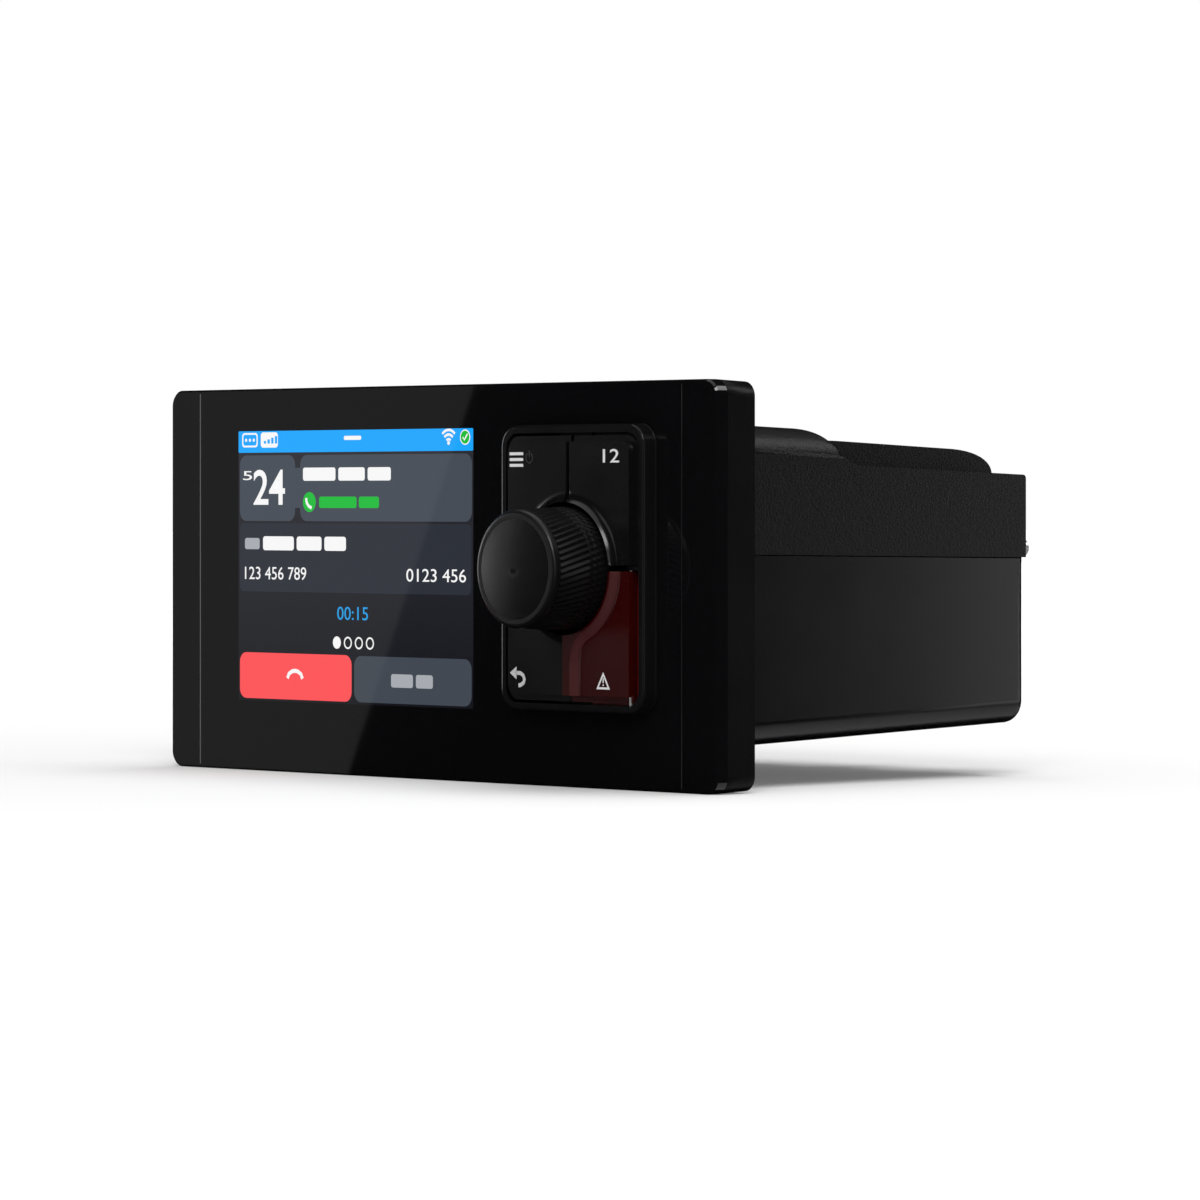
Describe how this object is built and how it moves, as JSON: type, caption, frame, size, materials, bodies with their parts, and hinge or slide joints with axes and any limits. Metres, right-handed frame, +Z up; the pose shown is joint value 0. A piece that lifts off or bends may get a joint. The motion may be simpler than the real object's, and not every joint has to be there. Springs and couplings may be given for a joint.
{
  "type": "vhf marine radio",
  "caption": "Flush-mount VHF marine radio with a wide gloss front, colour display, keypad with ribbed knob and flip-up distress door, and a stepped rear body with sockets.",
  "frame": {"origin": "centre of the bezel's rear face, in the plane of the dash panel", "axes": "+Z up, the front faces -Y, +X to the right of someone looking at the front"},
  "size_m": [0.18, 0.1435, 0.085],
  "materials": {
    "bezel": "fine texture, satin",
    "rubber": "matte",
    "gloss_black": "high gloss",
    "display_glass": "glass front, lit picture",
    "tray_steel": "bright tinned",
    "pad_black": "semi gloss",
    "key_rubber": "satin",
    "door_red": "tinted, semi gloss",
    "pin_steel": "bright",
    "knob_black": "satin, ribbed",
    "knob_cap": "satin, slightly domed",
    "brass": "bright",
    "board_green": "solder mask",
    "case_metal": "fine textured coat",
    "case_plastic": "fine texture",
    "chip_black": "matte",
    "pad_grey": "matte",
    "connector_black": "satin",
    "nickel": "nickel plated",
    "insulator_white": "smooth"
  },
  "bodies": {
    "radio": {"front_bezel": "bezel", "panel_gasket": "rubber", "front_lens": "gloss_black", "display_panel": "display_glass", "display_tray": "tray_steel", "keypad_surround": "pad_black", "hinge_pin": "pin_steel", "door_spring": "pin_steel", "encoder_body": "tray_steel", "encoder_washer": "pin_steel", "encoder_nut": "brass", "key_mat": "rubber", "front_board": "board_green", "front_board_screws": "pin_steel", "upper_cover": "case_metal", "lower_housing": "case_plastic", "case_seal": "rubber", "case_screws": "pin_steel", "bezel_screws": "pin_steel", "ground_screw": "pin_steel", "main_board": "board_green", "main_board_screws": "pin_steel", "power_amplifier": "chip_black", "thermal_pad": "pad_grey", "shield_can": "tray_steel", "board_connector": "connector_black", "network_socket": "connector_black", "mic_socket": "connector_black", "power_socket": "connector_black", "socket_pins": "brass", "antenna_socket": "nickel", "antenna_insulator": "insulator_white", "antenna_contact": "brass", "antenna_screws": "pin_steel", "locator_socket": "brass"},
    "switch_plunger": {"switch_plunger": "pad_black"},
    "knob": {"knob_grip": "knob_black", "knob_face": "knob_cap", "encoder_shaft": "pin_steel"},
    "menu_key": {"menu_key": "key_rubber"},
    "channel_key": {"channel_key": "key_rubber"},
    "back_key": {"back_key": "key_rubber"},
    "distress_key": {"distress_key": "key_rubber"},
    "distress_door": {"distress_door": "door_red"},
    "left_trim_cap": {"left_trim_cap": "gloss_black"},
    "right_trim_cap": {"right_trim_cap": "gloss_black"}
  },
  "joints": [
    {"name": "knob_press", "type": "slide", "parent": "radio", "child": "switch_plunger", "axis": [0, 1, 0], "range_m": [0, 0.0005], "stiffness_N_per_m": 4000, "springref_m": -0.0005},
    {"name": "knob_turn", "type": "hinge", "parent": "switch_plunger", "child": "knob", "pos_m": [0.0495, -0.02, 0.00345], "axis": [0, 1, 0], "continuous": true},
    {"name": "menu_key_press", "type": "slide", "parent": "radio", "child": "menu_key", "axis": [0, 1, 0], "range_m": [0, 0.0006], "stiffness_N_per_m": 900, "springref_m": -0.0006},
    {"name": "channel_key_press", "type": "slide", "parent": "radio", "child": "channel_key", "axis": [0, 1, 0], "range_m": [0, 0.0006], "stiffness_N_per_m": 900, "springref_m": -0.0006},
    {"name": "back_key_press", "type": "slide", "parent": "radio", "child": "back_key", "axis": [0, 1, 0], "range_m": [0, 0.0006], "stiffness_N_per_m": 900, "springref_m": -0.0006},
    {"name": "distress_key_press", "type": "slide", "parent": "radio", "child": "distress_key", "axis": [0, 1, 0], "range_m": [0, 0.0006], "stiffness_N_per_m": 900, "springref_m": -0.0006},
    {"name": "door_hinge", "type": "hinge", "parent": "radio", "child": "distress_door", "pos_m": [0.0673, -0.01395, -0.01], "axis": [0, 0, 1], "range_deg": [0, 100], "stiffness_Nm_per_rad": 0.002, "springref_deg": -20.05},
    {"name": "left_cap_pull", "type": "slide", "parent": "radio", "child": "left_trim_cap", "axis": [0, -1, 0], "range_m": [0, 0.012]},
    {"name": "right_cap_pull", "type": "slide", "parent": "radio", "child": "right_trim_cap", "axis": [0, -1, 0], "range_m": [0, 0.012]}
  ]
}
